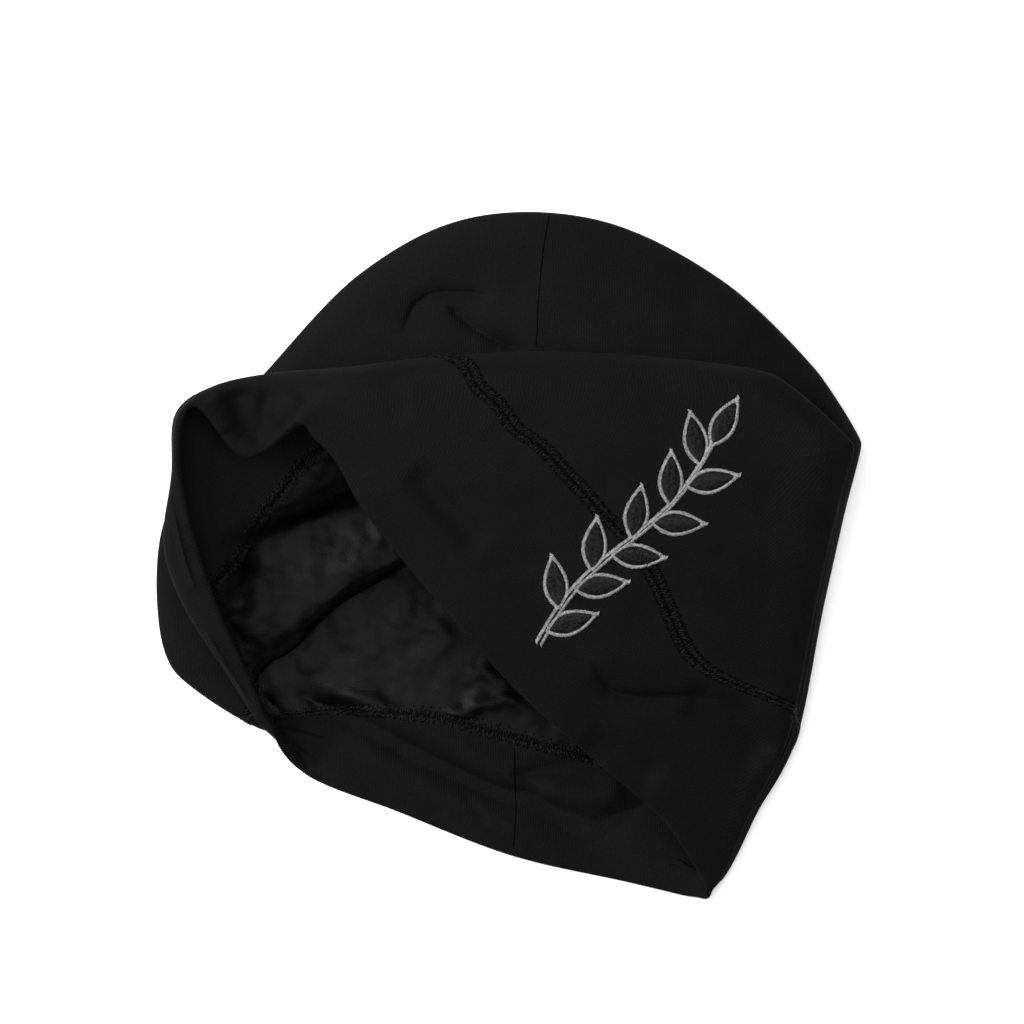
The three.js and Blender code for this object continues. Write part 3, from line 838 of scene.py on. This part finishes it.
CROWN_SEAM_PIXELS = [(549, 214), (543, 252), (540, 280), (538, 306), (537, 332), (536, 348)]
BAND_JOIN_PIXELS = [(514, 748), (515, 780), (516, 810), (513, 852)]
# Painted shade: these threads are in the darker black, for the shade in the seam's groove
CROWN_SEAM = seam_line("crown_seam", CROWN_SEAM_PIXELS)
BAND_JOIN = seam_line("band_join", BAND_JOIN_PIXELS)


# Embroidery: a leafy sprig of satin stitch, where the solids have its plate, in mm

SPRIG_START = np.array([10.0, -30.0]) + ORIGIN_SHIFT[:2]
SPRIG_END = np.array([70.0, 39.0]) + ORIGIN_SHIFT[:2]
SPRIG_SWAY = 3.0
STEM_WIDTH = 2.6
STEM_TAPER = 0.5
LEAF_COUNT = 10
LEAF_LENGTH = 19.0
LEAF_WIDTH = 8.5
LEAF_ANGLE = math.radians(42)
LEAF_FULLNESS = 0.8
LEAF_POINT = 0.3  # half the width of a leaf's points
FIRST_LEAF = 0.6  # of the way between two leaves, from the stem's foot
TIP_LEAF = 0.99  # of the stem's length

# Fill threads, in mm
FILL_PITCH = 0.36
FILL_RADIUS = 0.2
FILL_SLANT = 1.4  # how far a thread runs up the leaf on its way to the edge
FILL_SLANT_SHARE = 0.6  # and at most, as a share of the leaf's half width
FILL_OVERLAP = 0.2  # past the rib
FILL_DRAW = 0.1  # how far its end strays
FILL_PAD = 0.75  # height of the padding at a leaf's rib
FULL_PAD_REACH = 2  # threads that go this far from the rib have the whole padding
# Columns: share of its way, share of the padding under it, height over that
FILL_PROFILE = ((0, 1, 0), (0.35, 0.95, 0.1), (0.75, 0.55, 0.05), (1, 0, 0.1))
STEM_DRAWS = (0.3, 0.7)  # where a stem's thread is within its pitch
STEM_SLANT = 0.4
STEM_PROFILE = (0.1, 0.45, 0.1)  # heights over the cloth

# Outline threads, in mm
OUTLINE_PITCH = 0.42
OUTLINE_WIDTH = 1.35
OUTLINE_DRAWS = (0.85, 1.1)  # of the width
OUTLINE_SLANT = 0.45
OUTLINE_RADIUS = 0.19
OUTLINE_PROFILE = (0.12, 0.55, 0.12)  # heights over the cloth
OUTLINE_STEPS = 24  # along each side of a leaf, and three times as many along the stem
LEAF_INSET = 0.5  # of the outline's middle, from the edge
STEM_INSET = 0.45
LEAST_STEM = 0.3
STEM_FILL_INSET = OUTLINE_WIDTH / 3
SPRIG_SEED = 21


def stem_at(part):
    """Place and heading of the stem, from 0 at its foot to 1 at its tip."""
    line = SPRIG_END - SPRIG_START
    length = np.linalg.norm(line)
    side = np.array([-line[1], line[0]]) / length
    place = SPRIG_START + line * part + side * SPRIG_SWAY * math.sin(2 * math.pi * part)
    heading = line / length + side * 2 * math.pi * SPRIG_SWAY * math.cos(2 * math.pi * part) / length
    return place, heading / np.linalg.norm(heading)


def rotated(heading, angle):
    return np.array([
        heading[0] * math.cos(angle) - heading[1] * math.sin(angle),
        heading[0] * math.sin(angle) + heading[1] * math.cos(angle),
    ])


def leaf_ribs():
    """Root and heading of every leaf."""
    ribs = []
    for leaf in range(LEAF_COUNT):
        place, heading = stem_at((leaf + FIRST_LEAF) / (LEAF_COUNT + FIRST_LEAF))
        ribs.append((place, rotated(heading, LEAF_ANGLE if leaf % 2 else -LEAF_ANGLE)))
    ribs.append(stem_at(TIP_LEAF))
    return ribs


def leaf_half_width(part):
    part = min(max(part, 0.0), 1.0)
    return max(LEAF_POINT, LEAF_WIDTH / 2 * math.sin(math.pi * part**LEAF_FULLNESS))


def stem_half_width(part):
    return STEM_WIDTH / 2 * (1 - STEM_TAPER * part)


def across(heading):
    return np.array([-heading[1], heading[0]])


def on_front(place, height):
    """A place over the front of the cap, at a height above the cloth, both in mm."""
    hit, normal, _, _ = FINAL_TREE.ray_cast(Vector((place[0] * MM, place[1] * MM, ABOVE)), DOWN)
    return hit + normal * height * MM


def leaf_fill(root, heading, draws):
    """Threads of both halves of a leaf, from its rib to its edge."""
    runs = []
    for step in range(round(LEAF_LENGTH / FILL_PITCH)):
        part = (step + 0.5) * FILL_PITCH / LEAF_LENGTH
        slant = min(FILL_SLANT, leaf_half_width(part) * FILL_SLANT_SHARE)
        reach = leaf_half_width(part) - OUTLINE_WIDTH / 2
        if reach < OUTLINE_WIDTH / 2:
            continue
        pad = FILL_PAD * min(1, reach / FULL_PAD_REACH)
        for side in (-1, 1):
            outwards = across(heading) * side
            begin = root + heading * (part * LEAF_LENGTH - slant / 2) - outwards * FILL_OVERLAP
            stray = draws.uniform(-FILL_DRAW, FILL_DRAW)
            end = root + heading * (part * LEAF_LENGTH + slant / 2 + stray) + outwards * reach
            runs.append([
                on_front(begin + (end - begin) * share, pad * padding + lift)
                for share, padding, lift in FILL_PROFILE
            ])
    return runs


def stem_fill(draws):
    runs = []
    length = np.linalg.norm(SPRIG_END - SPRIG_START)
    count = round(length / FILL_PITCH)
    for step in range(count):
        part = (step + draws.uniform(*STEM_DRAWS)) / count
        place, heading = stem_at(part)
        reach = across(heading) * (stem_half_width(part) - STEM_FILL_INSET)
        ends = (place - reach - heading * STEM_SLANT, place, place + reach + heading * STEM_SLANT)
        runs.append([on_front(end, lift) for end, lift in zip(ends, STEM_PROFILE)])
    return runs


def outline_run(points, draws):
    """Short slanting threads that follow a line of places in plan."""
    points = np.array(points)
    steps = np.diff(points, axis=0)
    lengths = np.linalg.norm(steps, axis=1)
    ways = np.concatenate([[0], np.cumsum(lengths)])
    count = round(ways[-1] / OUTLINE_PITCH)
    runs = []
    for k in range(count):
        way = (k + 0.5) * ways[-1] / count
        place = np.array([np.interp(way, ways, points[:, axis]) for axis in (0, 1)])
        step = min(np.searchsorted(ways, way) - 1, len(steps) - 1)
        heading = steps[step] / lengths[step]
        half = across(heading) * OUTLINE_WIDTH / 2 * draws.uniform(*OUTLINE_DRAWS) + heading * OUTLINE_SLANT
        ends = (place - half, place, place + half)
        runs.append([on_front(end, lift) for end, lift in zip(ends, OUTLINE_PROFILE)])
    return runs


def leaf_outline(root, heading):
    """Once round a leaf, just inside its edge."""
    parts = np.linspace(0, 1, OUTLINE_STEPS)
    middles = [root + heading * LEAF_LENGTH * part for part in parts]
    reaches = [across(heading) * max(0, leaf_half_width(part) - LEAF_INSET) for part in parts]
    right = [middle - reach for middle, reach in zip(middles, reaches)]
    left = [middle + reach for middle, reach in zip(middles, reaches)]
    return right + left[::-1][1:]


def stem_outline(side):
    places = []
    for part in np.linspace(0, 1, OUTLINE_STEPS * 3):
        place, heading = stem_at(part)
        places.append(place + across(heading) * side * max(LEAST_STEM, stem_half_width(part) - STEM_INSET))
    return places


def sprig():
    draws = random.Random(SPRIG_SEED)
    fill = stem_fill(draws)
    outline = outline_run(stem_outline(-1), draws) + outline_run(stem_outline(1)[::-1], draws)
    for root, heading in leaf_ribs():
        fill += leaf_fill(root, heading, draws)
        outline += outline_run(leaf_outline(root, heading), draws)
    return (
        thread_piece("sprig_fill", fill, FILL_RADIUS * MM, resolution=0),
        thread_piece("sprig_outline", outline, OUTLINE_RADIUS * MM, resolution=0),
    )


SPRIG_FILL, SPRIG_OUTLINE = sprig()


# Materials

def node(tree, kind, inputs=(), **settings):
    """A new node with its settings. Its inputs are joined to outputs, or set to values."""
    made = tree.nodes.new(kind)
    for name, value in settings.items():
        setattr(made, name, value)
    for place, value in dict(inputs).items():
        if isinstance(value, bpy.types.NodeSocket):
            tree.links.new(value, made.inputs[place])
        else:
            made.inputs[place].default_value = value
    return made


def maths(tree, operation, *values):
    return node(tree, "ShaderNodeMath", enumerate(values), operation=operation).outputs[0]


def ramp_between(tree, value, span, results):
    """A value carried smoothly from one range to another."""
    inputs = dict(zip(("Value", "From Min", "From Max", "To Min", "To Max"), (value, *span, *results)))
    return node(tree, "ShaderNodeMapRange", inputs, interpolation_type="SMOOTHSTEP").outputs["Result"]


def shader(name, color, roughness):
    """A new material with its Principled shader and its node tree."""
    material = bpy.data.materials.new(name)
    material.use_nodes = True
    tree = material.node_tree
    surface = tree.nodes["Principled BSDF"]
    surface.inputs["Base Color"].default_value = (*color, 1)
    surface.inputs["Roughness"].default_value = roughness
    return material, tree, surface


def uv_pair(tree, name):
    place = node(tree, "ShaderNodeUVMap", uv_map=name).outputs["UV"]
    split = node(tree, "ShaderNodeSeparateXYZ", {0: place})
    return split.outputs["X"], split.outputs["Y"]


def grain(tree, size, detail=2.0):
    """Noise with grains of the given size, in metres."""
    place = node(tree, "ShaderNodeTexCoord").outputs["Object"]
    inputs = {"Vector": place, "Scale": 1 / size, "Detail": detail}
    return node(tree, "ShaderNodeTexNoise", inputs).outputs["Fac"]


def shaded_color(tree, surface, color, brightness):
    """The base colour times a brightness that changes over the surface."""
    tint = node(tree, "ShaderNodeVectorMath", {0: color, "Scale": brightness}, operation="SCALE")
    tree.links.new(tint.outputs[0], surface.inputs["Base Color"])


def bumped(tree, surface, height, distance):
    bump = node(tree, "ShaderNodeBump", {"Height": height, "Distance": distance, "Strength": 1.0})
    tree.links.new(bump.outputs["Normal"], surface.inputs["Normal"])


JERSEY_BLACK = (0.0032, 0.0032, 0.0033)
SATIN_BLACK = (0.0003, 0.0003, 0.0004)
THREAD_BLACK = (0.0034, 0.0034, 0.0036)
# Painted shade: a black darker than the thread, for the needle holes and the grooves of the plain seams
PAINTED_SHADE_BLACK = (0.0012, 0.0012, 0.0012)
FILL_BLACK = (0.0050, 0.0050, 0.0052)
OUTLINE_GREY = (0.16, 0.16, 0.162)
FLOOR_WHITE = (0.88, 0.88, 0.88)
NOISE_SPAN = (0.3, 0.7)  # most of a noise lies between these

# Jersey. Heights are in times a rib's.
RIB_PITCH = 0.85  # in mm, as are the next three
COURSE_PITCH = 0.62
STITCH_BAND = 3.6  # half width of the band under the cover stitch that is darkened with painted shade
STITCH_BAND_EDGE = 1
COURSE_SLANT = 1.5  # how far a loop's legs lean, in radians of the course's wave
COURSE_HEIGHT = 0.45
FLUFF_HEIGHT = 2.2
FLUFF_SIZE = 0.5 * MM
KNIT_RELIEF = 0.035 * MM
CLOUD_SIZE = 18 * MM
# Painted shade: the jersey under the cover stitch is this much darker, so that the gaps between its threads
# look shaded
STITCH_GAP_PAINTED_SHADES = (0.35, 1.0)
FLUFF_SHADES = (0.82, 1.18)
CLOUD_SHADES = (0.93, 1.07)

# Satin
WEAVE_SIZE = 0.35 * MM
RIPPLE_SIZE = 9.5 * MM
RIPPLE_DETAIL = 0.8
RIPPLE_HEIGHT = 17.0  # in times the weave's
SATIN_RELIEF = 0.13 * MM
RIPPLE_SHADES = (0.8, 1.2)

# Thread
THREAD_GRAIN = 0.8 * MM
THREAD_SPAN = (0.35, 0.65)


def jersey_material():
    material, tree, surface = shader("black_jersey", JERSEY_BLACK, roughness=0.8)
    surface.inputs["Sheen Weight"].default_value = 0.004
    surface.inputs["Sheen Roughness"].default_value = 0.35
    surface.inputs["Specular IOR Level"].default_value = 0.02
    beside, along = uv_pair(tree, "knit_way")
    rib = maths(tree, "SINE", maths(tree, "MULTIPLY", beside, 2 * math.pi / RIB_PITCH))
    slant = maths(tree, "MULTIPLY", maths(tree, "ABSOLUTE", rib), COURSE_SLANT)
    course = maths(tree, "MULTIPLY_ADD", along, 2 * math.pi / COURSE_PITCH, slant)
    loops = maths(tree, "MULTIPLY_ADD", maths(tree, "SINE", course), COURSE_HEIGHT, rib)
    fluff = grain(tree, FLUFF_SIZE)
    height = maths(tree, "MULTIPLY_ADD", fluff, FLUFF_HEIGHT, loops)
    bumped(tree, surface, height, KNIT_RELIEF)
    _, past = uv_pair(tree, "seam_way")
    band = (STITCH_BAND - STITCH_BAND_EDGE, STITCH_BAND)
    # Painted shade: darkens the jersey under the cover stitch, in place of the shade between its threads
    painted_stitch_gap_shade = ramp_between(tree, maths(tree, "ABSOLUTE", past), band, STITCH_GAP_PAINTED_SHADES)
    uneven = ramp_between(tree, fluff, NOISE_SPAN, FLUFF_SHADES)
    clouds = ramp_between(tree, grain(tree, CLOUD_SIZE), NOISE_SPAN, CLOUD_SHADES)
    brightness = maths(tree, "MULTIPLY", maths(tree, "MULTIPLY", painted_stitch_gap_shade, uneven), clouds)
    shaded_color(tree, surface, JERSEY_BLACK, brightness)
    return material


def satin_material():
    material, tree, surface = shader("black_satin", SATIN_BLACK, roughness=0.35)
    surface.inputs["Specular IOR Level"].default_value = 0.05
    weave = grain(tree, WEAVE_SIZE)
    ripple = grain(tree, RIPPLE_SIZE, RIPPLE_DETAIL)
    height = maths(tree, "MULTIPLY_ADD", ripple, RIPPLE_HEIGHT, weave)
    bumped(tree, surface, height, SATIN_RELIEF)
    shaded_color(tree, surface, SATIN_BLACK, ramp_between(tree, ripple, NOISE_SPAN, RIPPLE_SHADES))
    return material


def thread_material(name, color, shades, specular):
    """Thread whose brightness changes from stitch to stitch."""
    material, tree, surface = shader(name, color, roughness=0.5)
    surface.inputs["Specular IOR Level"].default_value = specular
    shaded_color(tree, surface, color, ramp_between(tree, grain(tree, THREAD_GRAIN), THREAD_SPAN, shades))
    return material


JERSEY = jersey_material()
SATIN_FINISH = satin_material()
BLACK_THREAD = thread_material("black_thread", THREAD_BLACK, (0.1, 2.1), specular=0.03)
# Painted shade: thread darker than the rest and without shine, standing for the shade in needle holes and
# seam grooves
PAINTED_SHADE_THREAD = thread_material("painted_shade_thread", PAINTED_SHADE_BLACK, (0.6, 1.4), specular=0.0)
FILL_THREAD = thread_material("embroidery_black", FILL_BLACK, (0.25, 1.9), specular=0.1)
OUTLINE_THREAD = thread_material("embroidery_grey", OUTLINE_GREY, (0.7, 1.45), specular=0.15)

# Columns: piece, material, slot, solids that it replaces
PIECES = (
    (BODY, JERSEY, "jersey", ("body_shell",)),
    (CUFF, JERSEY, "jersey", ("cuff_band",)),
    (LINING, SATIN_FINISH, "satin", ("lining",)),
    (OUTER_STITCH, BLACK_THREAD, "sewing_thread", ()),
    (INNER_STITCH, BLACK_THREAD, "sewing_thread", ()),
    (OUTER_NEEDLE_HOLE_SHADE, PAINTED_SHADE_THREAD, "sewing_thread", ()),
    (INNER_NEEDLE_HOLE_SHADE, PAINTED_SHADE_THREAD, "sewing_thread", ()),
    (CROWN_SEAM, PAINTED_SHADE_THREAD, "sewing_thread", ()),
    (BAND_JOIN, PAINTED_SHADE_THREAD, "sewing_thread", ()),
    (SPRIG_FILL, FILL_THREAD, "embroidery_fill", ("embroidered_sprig",)),
    (SPRIG_OUTLINE, OUTLINE_THREAD, "embroidery_outline", ()),
)
for piece, finish, slot, nodes in PIECES:
    piece.data.materials.clear()
    piece.data.materials.append(finish)
    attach(piece, "root")
    if nodes:
        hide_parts(*nodes)


# Floor, light and camera

FLOOR_HALF = 3.0
# Columns: name, place, size, watts. The lights face the origin.
SOFTBOXES = (
    ("key_softbox", (-1.25, 0.55, 1.0), 0.7, 54),
    ("top_softbox", (0.0, 0.2, 1.9), 2.0, 56),
)
WALL_LIGHT = 0.35


def pale_floor():
    floor_mesh = bmesh.new()
    bmesh.ops.create_grid(floor_mesh, x_segments=1, y_segments=1, size=FLOOR_HALF)
    mesh = bpy.data.meshes.new("pale_floor")
    floor_mesh.to_mesh(mesh)
    floor_mesh.free()
    floor = linked("pale_floor", mesh)
    floor.data.materials.append(shader("floor_white", FLOOR_WHITE, roughness=0.9)[0])


def softbox(name, place, size, power):
    light = bpy.data.lights.new(name, "AREA")
    light.size = size
    light.energy = power
    lamp = linked(name, light)
    lamp.location = place
    lamp.rotation_mode = "QUATERNION"
    lamp.rotation_quaternion = (-Vector(place)).to_track_quat("-Z", "Y")


def studio():
    pale_floor()
    for row in SOFTBOXES:
        softbox(*row)
    world = bpy.data.worlds.new("studio_walls")
    world.use_nodes = True
    world.node_tree.nodes["Background"].inputs["Color"].default_value = (1, 1, 1, 1)
    world.node_tree.nodes["Background"].inputs["Strength"].default_value = WALL_LIGHT
    bpy.context.scene.world = world
    bpy.context.scene.view_settings.view_transform = "Standard"


def camera():
    lens = bpy.data.cameras.new("camera")
    lens.sensor_width = SENSOR_WIDTH
    lens.lens = SENSOR_WIDTH * CAMERA_PLACE.z / (FRAME_PIXELS * PIXEL)
    holder = linked("camera", lens)
    holder.location = CAMERA_PLACE
    bpy.context.scene.camera = holder


studio()
camera()
